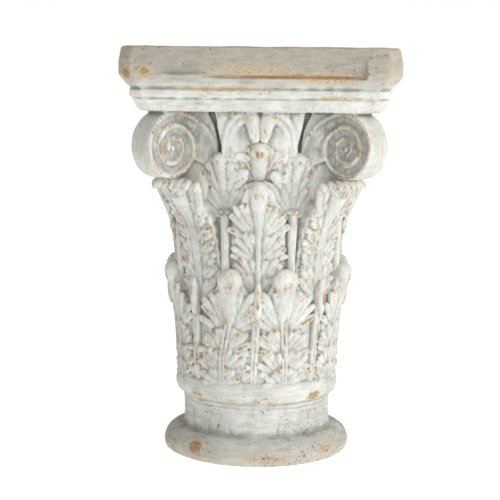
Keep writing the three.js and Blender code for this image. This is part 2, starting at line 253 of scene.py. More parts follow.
# Worn spots on the plain mouldings of the front, two of them also a painted shadow along the abacus groove:
# centre, reach each way, and how far the wash is gone
WORN_SPOTS_AND_GROOVE_SHADE = (
    ((-183.0, -187.0, 561.0), (14.0, 13.0, 18.0), 1.3),
    ((-157.0, -191.0, 566.0), (19.0, 9.0, 15.0), 1.1),
    # The next two spots lie in the abacus groove: worn brown there, and painted shadow in the groove
    ((18.0, -191.0, 559.5), (95.0, 14.0, 3.6), 1.7),
    ((100.0, -191.0, 559.5), (70.0, 14.0, 3.6), 1.7),
    ((-50.0, -180.0, 542.0), (125.0, 14.0, 5.5), 0.9),
    ((110.0, -180.0, 531.0), (75.0, 14.0, 5.5), 0.85),
    ((60.0, -191.0, 561.0), (100.0, 14.0, 8.5), 0.95),
    ((-10.0, -192.0, 567.0), (110.0, 9.0, 16.0), 0.78),
    ((90.0, -192.0, 554.0), (100.0, 14.0, 11.0), 0.8),
    ((152.0, -190.0, 573.0), (4.0, 7.0, 15.0), 1.0),
    ((-38.0, -116.0, 92.0), (18.0, 11.0, 7.0), 0.9),
    ((0.0, -122.0, 91.0), (15.0, 10.0, 8.0), 1.0),
    ((84.0, -88.0, 96.0), (24.0, 21.0, 12.0), 1.2),
    ((-90.0, -103.0, 22.0), (26.0, 22.0, 18.0), 1.25),
    ((12.0, -135.0, 14.0), (58.0, 12.0, 8.0), 0.9),
    ((100.0, -94.0, 18.0), (30.0, 27.0, 13.0), 0.9),
)
SIDE_SPOTS = 4

# Smallest connected part that a carved mesh keeps, in cubic metres
SMALLEST_PART = 1e-7

# Turns about the axis, from the front: the four faces, the eight leaves of a tier, and half a leaf's share
FACE_TURNS = tuple(face * math.pi / 2 for face in range(4))
LEAF_TURNS = tuple(place * math.pi / 4 for place in range(8))
HALF_LEAF = math.pi / 8

# Steps round a turned form, round a rod and along a finger, and how round a finger's section is
LATHE_STEPS = 180
ROD_SIDES = 16
FINGER_STEPS = 14
FINGER_ROUNDNESS = 0.6

# How often the carving is relaxed to find its crests, and its broad relief
CREST_ROUNDS = 2
RELIEF_ROUNDS = 36

# Heights that count as a full crest and as full relief, sizes of the unevenness, and flat base, in metres
CREST_HEIGHT = 0.0003
RELIEF_HEIGHT = 0.0022
BROAD_STRAY = 0.04
FINE_STRAY = 0.012
FLAT_BASE = 0.002

# Middle of the carved height and how far the carving runs from it, in metres
CARVED_MIDDLE = 0.32
CARVED_REACH = 0.2

# How brush marks are drawn out, level on the mouldings and upright on the carving
BRUSHED_LEVEL = (0.2, 0.2, 1.0)
BRUSHED_UPRIGHT = (1.0, 1.0, 0.3)

# Dusty wash on the abacus, and painted shade on the foot: height where it starts, height where it is full,
# strength
DUSTY_AND_SHADED_BANDS = ((0.535, 0.566, 0.95), (0.05, 0.015, 0.65))

# Lamps, in metres: how wide they are, what they point at and where they hang
LAMP_WIDTH = 2.0
LAMP_AIM = (0.0, 0.0, 0.3)
KEY_PLACE = (2.28, -1.31, 1.53)
FILL_PLACE = (0.1, -2.75, 0.9)


def hex_colour(name, of_what, default):
    """A property that holds a colour of the finish and its painted shade, or of the floor."""
    description = f"Colour of {of_what}, as an sRGB hex value"
    return bpy.props.StringProperty(name=name, description=description, default=default)


class PlinthCasting(bpy.types.PropertyGroup):
    """Sizes of the casting's carving, and the colours of its finish and of its painted shade"""

    carving_step: bpy.props.FloatProperty(
        name="Carving step",
        description="Finest step of the large forms",
        default=0.0017,
        min=0.001,
        max=0.01,
        unit="LENGTH",
    )
    leaf_step: bpy.props.FloatProperty(
        name="Leaf step",
        description="Finest step of the leaves",
        default=0.0013,
        min=0.001,
        max=0.01,
        unit="LENGTH",
    )
    triangle_limit: bpy.props.IntProperty(
        name="Triangles",
        description="Most triangles in the large forms, and in each ring of leaves",
        default=170000,
        min=20000,
        max=199000,
    )
    unevenness: bpy.props.FloatProperty(
        name="Unevenness",
        description="How far the hand-finished surface strays from its true form",
        default=0.0007,
        min=0.0,
        max=0.003,
        unit="LENGTH",
    )
    whitewash: hex_colour("Whitewash", "the whitewash where it is thick", "CDCFCA")
    thin_wash: hex_colour("Thin wash", "the whitewash where it is thin", "BBBBB2")
    ochre: hex_colour("Ochre", "the coat that shows where the wash is rubbed off", "D0B78F")
    umber: hex_colour("Umber", "the bare casting under the ochre", "957752")
    # This colour also paints shade on the foot, darker towards the floor
    fascia_and_foot_shade: hex_colour("Fascia", "the dusty wash on the abacus", "9D978B")
    pits: hex_colour("Pits", "the dirt in the pits", "6F604D")
    # This colour darkens the hollows: dust, and painted shade where shade falls in the creases
    grime_and_shade: hex_colour("Grime", "the dust and grey wash left in the hollows", "88867F")


class PlinthStage(bpy.types.PropertyGroup):
    """Floor, light and camera"""

    floor_colour: hex_colour("Floor", "the painted floor", "F6F6F5")
    floor_cloud: hex_colour("Floor cloud", "the floor's cloudy parts", "EEEEED")
    floor_glow: bpy.props.FloatProperty(
        name="Floor glow",
        description="How strongly the floor glows from below",
        default=0.68,
    )
    floor_size: bpy.props.FloatProperty(
        name="Floor size",
        description="Side of the square floor",
        default=14.0,
        unit="LENGTH",
    )
    key_power: bpy.props.FloatProperty(
        name="Key light",
        description="Power of the large soft light at the front right",
        default=46.0,
        unit="POWER",
    )
    fill_power: bpy.props.FloatProperty(
        name="Fill light",
        description="Power of the large soft light beside the camera",
        default=18.5,
        unit="POWER",
    )
    sky: bpy.props.FloatProperty(
        name="Room light",
        description="Strength of the even light from all round",
        default=0.41,
    )
    camera_distance: bpy.props.FloatProperty(
        name="Camera distance",
        description="Distance of the camera in front of the casting's axis",
        default=2.2,
        unit="LENGTH",
    )
    camera_height: bpy.props.FloatProperty(
        name="Camera height",
        description="Height of the camera over the floor",
        default=0.592,
        unit="LENGTH",
    )
    camera_aside: bpy.props.FloatProperty(
        name="Camera aside",
        description="How far the camera stands to the right of the casting's axis",
        default=-0.012,
        unit="LENGTH",
    )
    camera_pitch: bpy.props.FloatProperty(
        name="Camera pitch",
        description="How far the camera looks down",
        default=math.radians(7.61),
        subtype="ANGLE",
    )
    camera_roll: bpy.props.FloatProperty(
        name="Camera roll",
        description="How far the camera is turned about its line of sight",
        default=math.radians(0.6),
        subtype="ANGLE",
    )
    field_of_view: bpy.props.FloatProperty(
        name="Field of view",
        description="Angle that the square picture takes in",
        default=math.radians(19.22),
        subtype="ANGLE",
    )


# Small tools for building closed shells of points, in millimetres


def unit(vectors):
    return vectors / np.linalg.norm(vectors, axis=-1, keepdims=True)


def smooth(share):
    share = np.clip(share, 0.0, 1.0)
    return share * share * (3.0 - 2.0 * share)


def polar(radius, angle, height):
    """Points from radius, angle from the front towards the right, and height."""
    parts = np.broadcast_arrays(radius * np.sin(angle), -radius * np.cos(angle), height)
    return np.stack(parts, axis=-1)


def turned(points, angle):
    """Points turned about the casting's axis."""
    cos, sin = math.cos(angle), math.sin(angle)
    x, y, z = points[..., 0], points[..., 1], points[..., 2]
    return np.stack([cos * x - sin * y, sin * x + cos * y, z], axis=-1)


def curve(points, count):
    """A smooth curve through points."""
    points = np.asarray(points, float)
    ends = np.vstack([2 * points[0] - points[1], points, 2 * points[-1] - points[-2]])
    place = np.linspace(0.0, len(points) - 1.0, count)
    start = np.minimum(place.astype(int), len(points) - 2)
    t = (place - start)[:, None]
    a, b, c, d = (ends[start + k] for k in range(4))
    return 0.5 * (2 * b + (c - a) * t + (2 * a - 5 * b + 4 * c - d) * t**2 + (3 * b - a - 3 * c + d) * t**3)


def skin(rings):
    """A closed shell over rings of points, with a fan at each end."""
    rows, count = rings.shape[:2]
    points = np.concatenate([rings.reshape(-1, 3), rings[:1].mean(axis=1), rings[-1:].mean(axis=1)])
    here = np.arange(count)
    after = (here + 1) % count
    row = np.arange(rows - 1)[:, None] * count
    a, b = (row + here).ravel(), (row + after).ravel()
    c, d = a + count, b + count
    last = (rows - 1) * count
    first_hub = np.full(count, rows * count)
    triangles = np.concatenate(
        [
            np.stack([a, b, d], axis=1),
            np.stack([a, d, c], axis=1),
            np.stack([first_hub, after, here], axis=1),
            np.stack([first_hub + 1, last + here, last + after], axis=1),
        ]
    )
    corners = points[triangles]
    volume = np.einsum("ij,ij->", corners[:, 0], np.cross(corners[:, 1], corners[:, 2]))
    if volume < 0:
        triangles = triangles[:, ::-1]
    return points, triangles


def rod(path, outward, half_width, half_depth, roundness=1.0):
    """A rod along a path, as wide and as deep as is given at each point, and flatter when less round."""
    along = unit(np.gradient(path, axis=0))
    aside = unit(np.cross(along, outward))
    out = np.cross(aside, along)
    turn = np.linspace(0.0, 2.0 * math.pi, ROD_SIDES, endpoint=False)
    rise = np.sign(np.sin(turn)) * np.abs(np.sin(turn)) ** roundness
    wide = np.outer(half_width, np.cos(turn))[..., None] * aside[:, None]
    deep = np.outer(half_depth, rise)[..., None] * out[:, None]
    return skin(path[:, None] + wide + deep)


def finger_shares():
    """Shares along a finger, closer together towards its tip."""
    return np.sin(np.linspace(0.0, math.pi / 2, FINGER_STEPS))


def finger_taper(share, root, tip):
    """Thickness along a finger: it swells from its root and ends in a rounded tip."""
    swell = root + (1.0 - root) * smooth(share / 0.68)
    over = np.clip((share - (1.0 - tip)) / tip, 0.0, 1.0)
    return swell * np.maximum(np.sqrt(1.0 - over * over), 0.06)


def blunt_ends(share, least, slope):
    """Thickness along a rib, which tapers a little at both ends."""
    return np.minimum(1.0, least + slope * np.minimum(share, 1.0 - share))


def knob(centre, outward, along, half_width, half_depth, half_length):
    """A rounded knob that lies along a direction."""
    share = np.cos(np.linspace(math.pi, 0.0, FINGER_STEPS))
    path = np.asarray(centre, float) + share[:, None] * half_length * unit(np.asarray(along, float))
    taper = np.maximum(np.sqrt(1.0 - share * share), 0.05)
    out = np.broadcast_to(np.asarray(outward, float), path.shape)
    return rod(path, out, half_width * taper, half_depth * taper)


class Ground:
    """The curved ground that a leaf is carved on, measured across, up and out from the casting."""

    def __init__(self, azimuth, radius_at, lean_at=None):
        self.azimuth = azimuth
        self.radius_at = radius_at
        self.lean_at = lean_at

    def place(self, across, height, lift):
        height = np.asarray(height, float)
        radius = self.radius_at(height)
        lean = self.lean_at(height) if self.lean_at else 0.0
        return polar(radius + lift, self.azimuth + (across + lean) / radius, height)

    def out(self, across, height, lift):
        return self.place(across, height, lift + 1.0) - self.place(across, height, lift)

    def middle(self, height):
        """Radius and angle of the ground's middle line at a height."""
        radius = float(self.radius_at(height))
        lean = float(self.lean_at(height)) if self.lean_at else 0.0
        return radius, self.azimuth + lean / radius


def flared(radius, start, rise, flare, power, most):
    """A function for the radius of a leaf's ground, which flares out with the height above a start."""

    def radius_at(height):
        return radius + flare * np.clip((height - start) / rise, 0.0, most) ** power

    return radius_at


def bell_radius(height):
    rise = np.clip((height - BELL_FLARE_START) / (BELL_TOP - BELL_FLARE_START), 0.0, 1.0)
    return BELL_RADIUS + BELL_FLARE * rise * rise


class Carving:
    """The shells that make up a mesh of the casting, and the places where their wash is rubbed off."""

    def __init__(self, seed):
        self.random = np.random.default_rng(seed)
        self.shells = []
        self.rubbed = []

    def rub(self, point, radius, strength):
        self.rubbed.append((*np.asarray(point, float), radius, strength))

    def rub_along(self, path, radius, cover, strength):
        """Rubs broken stretches of a path, which cover a share of it."""
        wear = self.random.uniform(0.0, 1.0, len(path))
        wear = np.convolve(np.pad(wear, 2, mode="edge"), np.ones(5) / 5.0, mode="valid")
        limit = np.quantile(wear, 1.0 - cover)
        for point, value in zip(path, wear):
            if value > limit:
                self.rub(point, radius, strength * (0.6 + 2.0 * (value - limit)))

    def rub_rib(self, crest, last_start, count, radius, cover, strength):
        """Rubs one stretch of most ribs, a number of points long."""
        if self.random.uniform() < RIB_RUBBED:
            start = int(self.random.integers(3, last_start))
            self.rub_along(crest[start : start + count], radius, cover, strength)


# Leaf forms


def add_finger(carving, ground, side, root, angle, length, half_width, lift):
    """One finger of a leaf, from its root beside the midrib to its raised tip, which may be rolled."""
    share = finger_shares()
    heading = angle + 0.25 * share
    step = np.diff(share, prepend=0.0) * length
    across = side * (root[0] + np.cumsum(np.sin(heading) * step))
    height = root[1] + np.cumsum(np.cos(heading) * step)
    lifts = FINGER_ROOT_LIFT + (lift - FINGER_ROOT_LIFT) * share**1.8
    path = ground.place(across, height, lifts)
    outward = ground.out(across, height, lifts)
    taper = finger_taper(share, 0.6, 0.2)
    half_depth = half_width * taper * (0.5 + 0.22 * smooth((share - 0.6) / 0.3))
    carving.shells.append(rod(path, outward, half_width * taper, half_depth, FINGER_ROUNDNESS))
    crest = path + half_depth[:, None] * outward
    if carving.random.uniform() < TIP_ROLLED:
        along = path[-1] - path[-4]
        aside = np.cross(along, outward[-4])
        roll = path[-4] + 0.5 * half_depth[-4] * outward[-4]
        carving.shells.append(
            knob(roll, outward[-4], aside, 0.5 * half_width, 0.55 * half_width, 0.85 * half_width)
        )
    if carving.random.uniform() < TIP_RUBBED:
        start = int(carving.random.integers(-9, -4))
        carving.rub_along(crest[start:], radius=4.4, cover=0.9, strength=0.92)


def add_fan(carving, ground, side, height, fingers, lift, spread):
    """The fingers of one side of a leaf that spring from one place on its midrib."""
    for place, (degrees, length, half_width) in enumerate(fingers):
        turn, longer, wider = (carving.random.uniform(-stray, stray) for stray in FINGER_STRAY)
        root = (FINGER_ASIDE, height - FINGER_SPACING * place)
        angle = math.radians(degrees + turn)
        reach = spread * length * (1.0 + longer)
        add_finger(carving, ground, side, root, angle, reach, half_width * (1.0 + wider), lift)


def add_plate(carving, ground, heights, half_widths):
    """The body of a leaf under its fingers, rooted in the bell."""
    across = np.linspace(-1.0, 1.0, 13)
    rings = []
    for height, half_width in zip(heights, half_widths):
        level = np.full(across.shape, height)
        front = ground.place(across * half_width, level, PLATE_LIFT - PLATE_EDGE_DROP * across**4)
        back = ground.place(across[::-1] * half_width, level, -PLATE_ROOT)
        rings.append(np.concatenate([front, back]))
    carving.shells.append(skin(np.array(rings)))


def add_trunk(carving, ground, low, high, half_widths, lift):
    """The smooth midrib of a leaf, which widens towards its tip."""
    share = np.linspace(0.0, 1.0, 28)
    height = low + (high - low) * share
    ends = blunt_ends(share, 0.3, 5.0)
    half_width = half_widths[0] + (half_widths[1] - half_widths[0]) * share**1.5
    path = ground.place(0.0, height, lift)
    outward = ground.out(0.0, height, lift)
    carving.shells.append(rod(path, outward, half_width * ends, TRUNK_HALF_DEPTH * ends))
    carving.rub_rib(path + TRUNK_HALF_DEPTH * outward, 16, 8, radius=3.8, cover=0.8, strength=0.85)


def add_cords(carving, ground, low, high, apart, lift):
    """A midrib of two cords that part towards the leaf's tip."""
    share = np.linspace(0.0, 1.0, 40)
    height = low + (high - low) * share
    ends = blunt_ends(share, 0.3, 5.0)
    for side in (-1.0, 1.0):
        across = side * (apart[0] + (apart[1] - apart[0]) * share**1.5)
        path = ground.place(across, height, lift)
        outward = ground.out(across, height, lift)
        carving.shells.append(rod(path, outward, CORD_HALF_WIDTH * ends, CORD_HALF_DEPTH * ends))
        carving.rub_rib(path + CORD_HALF_DEPTH * outward, 24, 14, radius=3.2, cover=0.8, strength=0.9)


def add_nodding_tip(carving, ground, low, height, reach, half_width, ribbed):
    """The nodding tip of a leaf: a dome with grooves low on its front, which grows out of a tapered neck."""
    polar_angle = np.linspace(0.02, math.pi - 0.02, 40)[:, None]
    round_angle = np.linspace(0.0, 2.0 * math.pi, 60, endpoint=False)[None, :]
    across = np.sin(polar_angle) * np.sin(round_angle)
    out = np.sin(polar_angle) * np.cos(round_angle)
    up = -np.cos(polar_angle) + 0.0 * round_angle
    front = smooth(2.0 * out)
    apart, wide, deep = RIBBED_TIP_GROOVES if ribbed else TIP_GROOVES
    low_part = smooth((0.15 - up) / 0.25) * smooth((up + 0.95) / 0.2)
    swell = 1.0
    for place in (-3.0, -1.0, 1.0, 3.0):
        groove = ((across - place * apart * (1.0 + 0.5 * up)) / wide) ** 2
        swell = swell - deep * np.exp(-groove) * low_part * front
    swell += 0.022 * np.cos(13.0 * across) * front * smooth((up - 0.05) / 0.4)
    base, angle = ground.middle(low)
    outward = polar(1.0, angle, 0.0)
    aside = polar(1.0, angle + math.pi / 2, 0.0)
    centre = polar(base + 0.3 * reach, angle, low + 0.5 * height)
    narrow = swell * (1.0 - 0.3 * smooth(-up))
    points = centre + (half_width * narrow * across)[..., None] * aside
    points += (0.7 * reach * swell * (1.0 + 0.12 * up) * out)[..., None] * outward
    points[..., 2] += 0.5 * height * swell * up
    carving.shells.append(skin(points))
    share = np.linspace(0.0, 1.0, 40)
    level = low + height * (1.85 * share - 1.5)
    neck = ground.place(0.0, level, TIP_NECK_LIFT)
    neck_out = ground.out(0.0, level, TIP_NECK_LIFT)
    neck_width = half_width * (0.42 + 0.44 * smooth(share))
    neck_depth = TIP_NECK_HALF_DEPTH + (0.5 * reach - TIP_NECK_HALF_DEPTH) * smooth(share)
    carving.shells.append(rod(neck, neck_out, neck_width, neck_depth))
    for side in (-1.0, 1.0):
        for drop in (0.0, 0.3, 0.6):
            spot = centre + 0.62 * reach * outward + side * 1.3 * apart * half_width * aside
            spot[2] -= 0.5 * height * (drop + 0.1)
            carving.rub(spot, 0.17 * height, carving.random.uniform(0.5, 1.2))


def add_curled_fingers(carving, ground, low, height, reach, half_width, count):
    """Fingers side by side that rise over a leaf's tip and hang down at its end."""
    share = finger_shares()
    base, middle = ground.middle(low)
    profile = curve(CURLED_FINGER, FINGER_STEPS)
    for place in np.linspace(-1.0, 1.0, count):
        shrink = 1.0 - 0.22 * place * place
        angle = middle + place * half_width * (0.7 + 0.3 * share) / base
        level = low + height * (profile[:, 1] - 0.10 * place * place)
        path = polar(base + reach * shrink * profile[:, 0], angle, level)
        outward = unit(polar(0.4 + np.clip(profile[:, 0], 0.0, 1.0), angle, 0.8 * (profile[:, 1] - 0.3)))
        taper = finger_taper(share, 0.8, 0.14)
        width = 1.3 * half_width / (count - 1)
        carving.shells.append(rod(path, outward, width * taper, 0.75 * width * taper, FINGER_ROUNDNESS))
        if carving.random.uniform() < TIP_RUBBED:
            carving.rub(path[-4] + 0.6 * width * outward[-4], 7.0, carving.random.uniform(0.5, 0.9))


def add_leaf(carving, ground, shape):
    """A whole acanthus leaf: body, midrib, layers of fans and a tip.

    A tip is given by its lowest height, its own height, its reach and its half width.
    """
    low, height = shape["tip"][:2]
    foot = shape["foot"]
    heights = np.linspace(foot, low + 0.7 * height, 60)
    share = np.linspace(0.0, 1.0, len(heights))
    waves = 1.0 - 0.05 * np.sin(math.pi * (heights - foot) / EDGE_WAVE) ** 2
    narrowing = 1.0 - 0.5 * smooth((share - 0.7) / 0.3)
    add_plate(carving, ground, heights, shape["half_width"] * waves * narrowing)
    if "cords" in shape:
        add_cords(carving, ground, foot, low + 0.3 * height, shape["cords"], lift=3.4)
    if "trunk" in shape:
        add_trunk(carving, ground, foot, low + 0.5 * height, shape["trunk"], lift=2.8)
    for level, fingers in shape["layers"]:
        for side in (-1.0, 1.0):
            add_fan(carving, ground, side, level, fingers, shape["lift"], shape["spread"])
    add_nodding_tip(carving, ground, *shape["tip"], shape["ribbed"])
    if "curled" in shape:
        add_curled_fingers(carving, ground, *shape["curled"])


def add_stalk(carving, azimuths, low, high, radii, half_width, half_depth):
    """A stalk up the bell, from one angle at its foot to another at its top."""
    share = np.linspace(0.0, 1.0, 24)
    radius = radii[0] + (radii[1] - radii[0]) * share
    angle = azimuths[0] + (azimuths[1] - azimuths[0]) * share
    path = polar(radius, angle, low + (high - low) * share)
    outward = polar(1.0, angle, 0.0)
    ends = blunt_ends(share, 0.4, 6.0)
    carving.shells.append(rod(path, outward, half_width * ends, half_depth * ends))
    carving.rub_rib(path + half_depth * outward, 16, 7, radius=4.2, cover=0.85, strength=0.95)


# Parts of the casting


def arc(centre, radii, start, end, steps):
    angle = np.linspace(start, end, steps)
    return [(centre[0] + radii[0] * math.cos(a), centre[1] + radii[1] * math.sin(a)) for a in angle]


def turned_core():
    """Foot, neck, astragal and bell, turned about the casting's axis."""
    middle = (ASTRAGAL_BOTTOM + ASTRAGAL_TOP) / 2
    half = (ASTRAGAL_TOP - ASTRAGAL_BOTTOM) / 2
    profile = [(FOOT_RADIUS - 6, 0.0)]
    foot_radii = (FOOT_RADIUS - NECK_RADIUS - 4, FOOT_HEIGHT - 14)
    profile += arc((NECK_RADIUS + 4, 12), foot_radii, -0.35, 1.3, 16)
    profile += [(NECK_RADIUS + out, height) for out, height in NECK_STEPS]
    profile += arc((NECK_RADIUS, middle + 3), (ASTRAGAL_RADIUS - NECK_RADIUS, half - 3), -0.95, 1.2, 14)
    for height in np.linspace(ASTRAGAL_TOP, BELL_TOP, 30):
        fullness = CORE_FULLNESS * smooth((CORE_FULL_TOP - height) / CORE_FULL_FADE)
        profile.append((bell_radius(height) + fullness, height))
    angle = np.linspace(0.0, 2.0 * math.pi, LATHE_STEPS, endpoint=False)
    return [skin(np.array([polar(radius, angle, height) for radius, height in profile]))]


def abacus_ring(half, height):
    """One level of the abacus: a square with clipped corners and a face set back up to a sharp end."""
    inner = half - CORNER_CLIP
    plane = ABACUS_HALF_WIDTH - FASCIA_SETBACK + FASCIA_LEAN * (height - FASCIA_LEDGE)
    recess = max(0.0, half - plane) if height > FASCIA_LEDGE else 0.0
    if GROOVE_BOTTOM < height < FASCIA_LEDGE:
        recess = FASCIA_GROOVE
    x = np.concatenate([[-inner], np.linspace(-FASCIA_HALF_LENGTH, FASCIA_HALF_LENGTH, 40), [inner]])
    x = np.clip(x, -inner, inner)
    x[-2] = x[-3] + 1.0
    start = FASCIA_HALF_LENGTH if height > FASCIA_LEDGE else GROOVE_START
    set_back = recess * smooth((x + start) / RECESS_RUN_IN) * (x < x[-2])
    side = np.stack([x, set_back - half, np.full(x.shape, height)], axis=1)
    return np.concatenate([turned(side, turn) for turn in FACE_TURNS])


def abacus():
    return [skin(np.array([abacus_ring(half, height) for half, height in ABACUS_LEVELS]))]


def spiral_radius(turns):
    stem = VOLUTE_RADIUS + STEM_GROWTH * turns * turns
    return np.where(turns < 0, stem, VOLUTE_RADIUS - VOLUTE_PITCH * turns)


def volute_point(along, up, aside, facing):
    """A point of a volute, from its place along the diagonal, height over the eye and place aside."""
    excess = np.maximum(0.0, -along - STEM_BEND_START)
    bend = np.minimum(excess / STEM_BEND_RADIUS, math.pi / 4)
    straight = excess - bend * STEM_BEND_RADIUS
    inward = STEM_BEND_RADIUS * np.sin(bend) + straight * np.cos(bend)
    outward = STEM_BEND_RADIUS * (1.0 - np.cos(bend)) + straight * np.sin(bend)
    diagonal = VOLUTE_REACH + np.maximum(along, -STEM_BEND_START) - inward
    offset = aside + facing * outward
    height = math.sqrt(2.0) * (VOLUTE_EYE_HEIGHT + up)
    parts = np.broadcast_arrays(diagonal - offset, -diagonal - offset, height)
    return np.stack(parts, axis=-1) / math.sqrt(2.0)


def scroll_piece(start, end):
    """Part of a volute's spiral, carved on both faces."""
    turns = np.linspace(start, end, int((end - start) * 72) + 2)[:, None]
    section = np.array(SCROLL_SECTION)
    outer = spiral_radius(turns)
    inner = np.maximum(0.0, spiral_radius(turns + 1.0) - SCROLL_OVERLAP)
    radius = outer + (inner - outer) * section[:, 0]
    depth = section[:, 1] * np.minimum(1.0, (outer - inner) / FULL_BAND)
    angle = 2.0 * math.pi * turns
    sides = []
    for facing in (1.0, -1.0):
        aside = facing * (VOLUTE_HALF_THICKNESS - depth)
        sides.append(volute_point(radius * np.sin(angle), radius * np.cos(angle), aside, facing))
    return skin(np.concatenate([sides[0], sides[1][:, ::-1]], axis=1))


def stem(facing):
    """The band that carries a scroll from the sheath leaf to the volute, with a rim on its edge.

    A channel fills the space below it down to the scroll, and a web the space above it.
    """
    turns = np.linspace(-STEM_TURNS, 0.05, 30)[:, None]
    share = (turns + STEM_TURNS) / STEM_TURNS
    section = np.array(SCROLL_SECTION)
    outer = spiral_radius(turns)
    inset = section[:, 0] * STEM_WIDTH * (0.45 + 0.55 * smooth(share))
    depth = section[:, 1] * (0.4 + 0.6 * smooth(share))
    floor = outer - 0.7 * VOLUTE_RADIUS
    web = 2.0 + STEM_WEB * smooth(share)
    back = np.full(floor.shape, STEM_THICKNESS)
    set_back = np.full(floor.shape, STEM_WEB_DEPTH)
    inset = np.concatenate([-web, -web, 0.0 * web - 0.5, inset, floor, floor], axis=1)
    depth = np.concatenate([back, set_back, set_back, depth, depth[:, -1:] + 1.5, back], axis=1)
    radius = outer - inset
    angle = 2.0 * math.pi * turns
    aside = facing * (VOLUTE_HALF_THICKNESS - depth)
    return skin(volute_point(radius * np.sin(angle), radius * np.cos(angle), aside, facing))


def add_volutes(carving):
    """The corner volutes, each with its two stems, its eye and the mass behind it."""
    shells = []
    for start in np.arange(0.0, VOLUTE_TURNS, 0.5):
        shells.append(scroll_piece(start, min(start + 0.5, VOLUTE_TURNS)))
    for facing in (-1.0, 1.0):
        shells.append(stem(facing))
    out = np.array((1.0, -1.0, 0.0)) / math.sqrt(2.0)
    backing = BACKING_PLACE[0] * out + (0.0, 0.0, BACKING_PLACE[1])
    shells.append(knob(backing, out, UP, *VOLUTE_BACKING))
    eye = volute_point(along=1.5, up=-1.0, aside=0.0, facing=1.0)
    shells.append(knob(eye, UP, (1.0, 1.0, 0.0), *VOLUTE_EYE))
    turns = np.linspace(-0.2, VOLUTE_TURNS, 130)
    radius = spiral_radius(turns) - 2.5
    angle = 2.0 * math.pi * turns
    for turn in FACE_TURNS:
        carving.shells += [(turned(points, turn), triangles) for points, triangles in shells]
        for facing in (-1.0, 1.0):
            aside = facing * VOLUTE_HALF_THICKNESS + 0.0 * turns
            rim = volute_point(radius * np.sin(angle), radius * np.cos(angle), aside, facing)
            carving.rub_along(turned(rim, turn), radius=4.2, cover=0.8, strength=1.15)


def arch(side):
    """Half of a face's inner scrolls: a rounded band that ends in a drooping lobe at the face's centre."""
    path = curve(ARCH_PATH, 34)
    share = np.linspace(0.0, 1.0, len(path))
    along = np.gradient(path, axis=0)
    across = unit(np.stack([along[:, 2], 0.0 * share, -along[:, 0]], axis=1))
    half_width = np.interp(share, *np.transpose(ARCH_HALF_WIDTHS))
    turn = np.linspace(0.0, math.pi, 13)
    sideways = np.concatenate([-np.cos(turn), (0.9, -0.9)])
    points = path[:, None] + across[:, None] * (half_width[:, None] * sideways)[..., None]
    fluted = 0.35 * (1.0 - smooth((share - 0.4) / 0.25))[:, None] * np.exp(-((np.cos(turn) / 0.45) ** 2))
    front = -0.62 * half_width[:, None] * np.sin(turn) ** 0.75 * (1.0 - fluted)
    root = np.repeat((34.0 - 14.0 * share)[:, None], 2, axis=1)
    points[..., 1] += np.concatenate([front, root], axis=1)
    points[..., 0] *= side
    return skin(points), path * (side, 1.0, 1.0)


def add_inner_scrolls(carving):
    """The bands on each face that arch towards each other under the abacus, and the ground behind them."""
    for side in (-1.0, 1.0):
        (points, triangles), path = arch(side)
        edge = path + np.array((0.0, -6.0, 0.0))
        for turn in FACE_TURNS:
            carving.shells.append((turned(points, turn), triangles))
            carving.rub_along(turned(edge, turn), radius=5.2, cover=0.5, strength=1.0)
    points, triangles = spandrel()
    carving.shells += [(turned(points, turn), triangles) for turn in FACE_TURNS]


def add_lower_leaves(carving):
    """Eight leaves over the astragal, a little askew, with tips that lean to the centre of their face."""
    shape = {
        "foot": 117.0,
        "half_width": 33.5,
        "spread": 1.07,
        "lift": 5.0,
        "cords": (2.2, 4.5),
        "ribbed": False,
        "layers": ((118.0, FOOT_FAN), (128.0, FAN), (161.0, FAN), (193.0, LONG_FAN)),
        "tip": (250.0, 38.0, 17.0, 19.0),
    }
    slope = flared(radius=113.5, start=120.0, rise=127.0, flare=4.5, power=1.0, most=1.2)

    def radius_at(height):
        return slope(height) + 10.0 * smooth((height - 185.0) / 80.0)

    for place, azimuth in enumerate(LEAF_TURNS):
        facing = -1.0 if place % 2 == 0 else 1.0
        foot = HALF_LEAF + azimuth + LOWER_TWIST
        lean = LOWER_TIP_RADIUS * (facing * LOWER_TIP_LEAN - LOWER_TWIST)

        def lean_at(height, lean=lean):
            return lean * smooth((height - 140.0) / 110.0)

        add_leaf(carving, Ground(foot, radius_at, lean_at), shape)


def add_lower_stalks(carving):
    """Twin cords between the lower leaves, with a rolled bud near the top."""
    for azimuth in LEAF_TURNS:
        for side in (-1.0, 1.0):
            top = azimuth + side * CORD_ANGLE
            add_stalk(carving, (top + LOWER_TWIST, top), *LOWER_STALK)
        bud = polar(BUD_PLACE[0], azimuth, BUD_PLACE[1])
        outward = polar(1.0, azimuth, 0.0)
        carving.shells.append(knob(bud, outward, UP, *STALK_BUD))
        crest = bud + 6.0 * outward + np.outer(np.linspace(-11.0, 14.0, 9), UP)
        carving.rub_along(crest, radius=4.6, cover=0.9, strength=1.0)


def add_upper_leaves(carving):
    """A leaf at each face's centre, and one at each corner that reaches out under the volute."""
    face_shape = {
        "foot": 240.0,
        "half_width": 39.0,
        "spread": 1.1,
        "lift": 4.2,
        "trunk": (4.0, 7.0),
        "ribbed": True,
        "layers": ((240.0, FAN), (264.0, FAN), (300.0, FAN), (330.0, CROWN_FAN)),
        "tip": (381.0, 33.0, 17.0, 14.5),
    }
    corner_shape = face_shape | {
        "trunk": (8.0, 11.0),
        "layers": [(height, CORNER_FAN) for height in np.arange(240.0, 372.0, 19.0)],
        "tip": (382.0, 34.0, 26.0, 20.0),
        "curled": (381.0, 42.0, 37.0, 37.0, 8),
    }
    kinds = ((face_shape, 23.0), (corner_shape, 35.0))
    for place, azimuth in enumerate(LEAF_TURNS):
        shape, flare = kinds[place % 2]
        radius_at = flared(radius=117.0, start=262.0, rise=124.0, flare=flare, power=2.1, most=1.1)
        add_leaf(carving, Ground(azimuth, radius_at), shape)


